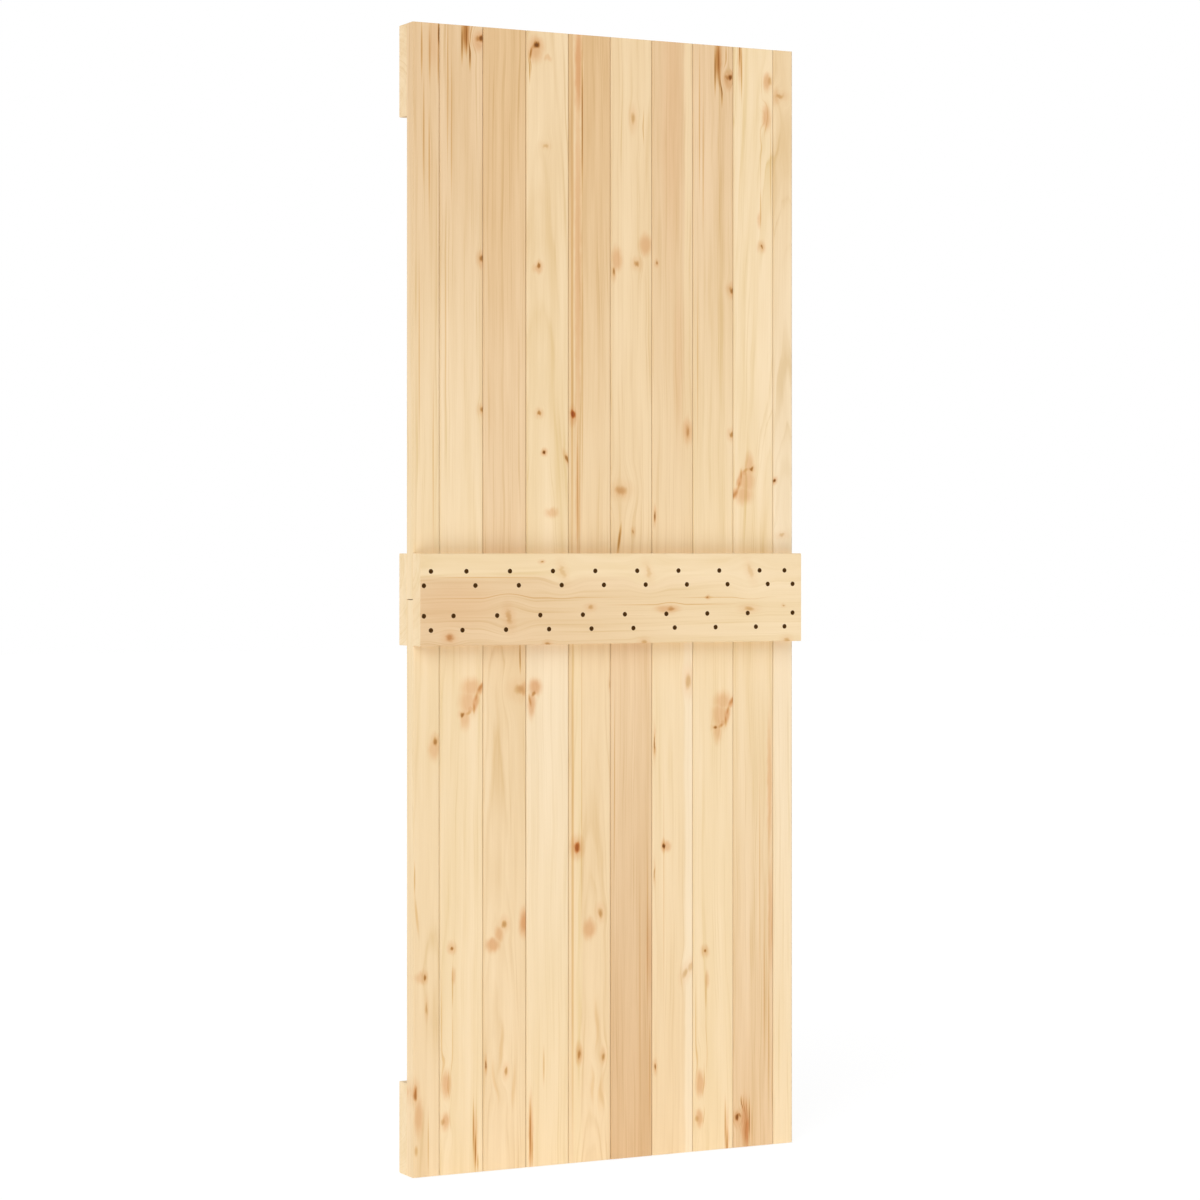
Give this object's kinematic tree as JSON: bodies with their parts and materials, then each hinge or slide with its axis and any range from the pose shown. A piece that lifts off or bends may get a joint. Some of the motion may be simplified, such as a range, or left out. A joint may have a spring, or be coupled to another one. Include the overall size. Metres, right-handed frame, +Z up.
{
  "type": "ledged plank sliding door leaf",
  "caption": "Sliding door leaf of upright tongued and grooved pine boards, butted at mid-height under a screwed cross rail, with rails across its back.",
  "frame": {"origin": "middle of the upper edge of the back top rail, where the leaf hangs from its hangers", "axes": "+Z up, +X to the right across the door seen from its front, -Y towards the front"},
  "size_m": [0.8, 0.093, 2.1],
  "materials": {
    "pine_boards": "clear matt",
    "pine_rails": "clear matt"
  },
  "bodies": {
    "root": {"upper_board_01": "pine_boards", "upper_board_02": "pine_boards", "upper_board_03": "pine_boards", "upper_board_04": "pine_boards", "upper_board_05": "pine_boards", "upper_board_06": "pine_boards", "upper_board_07": "pine_boards", "upper_board_08": "pine_boards", "upper_board_09": "pine_boards", "upper_board_10": "pine_boards", "lower_board_01": "pine_boards", "lower_board_02": "pine_boards", "lower_board_03": "pine_boards", "lower_board_04": "pine_boards", "lower_board_05": "pine_boards", "lower_board_06": "pine_boards", "lower_board_07": "pine_boards", "lower_board_08": "pine_boards", "lower_board_09": "pine_boards", "lower_board_10": "pine_boards", "front_middle_rail": "pine_rails", "back_middle_rail": "pine_rails", "back_top_rail": "pine_rails", "back_bottom_rail": "pine_rails"}
  },
  "joints": []
}
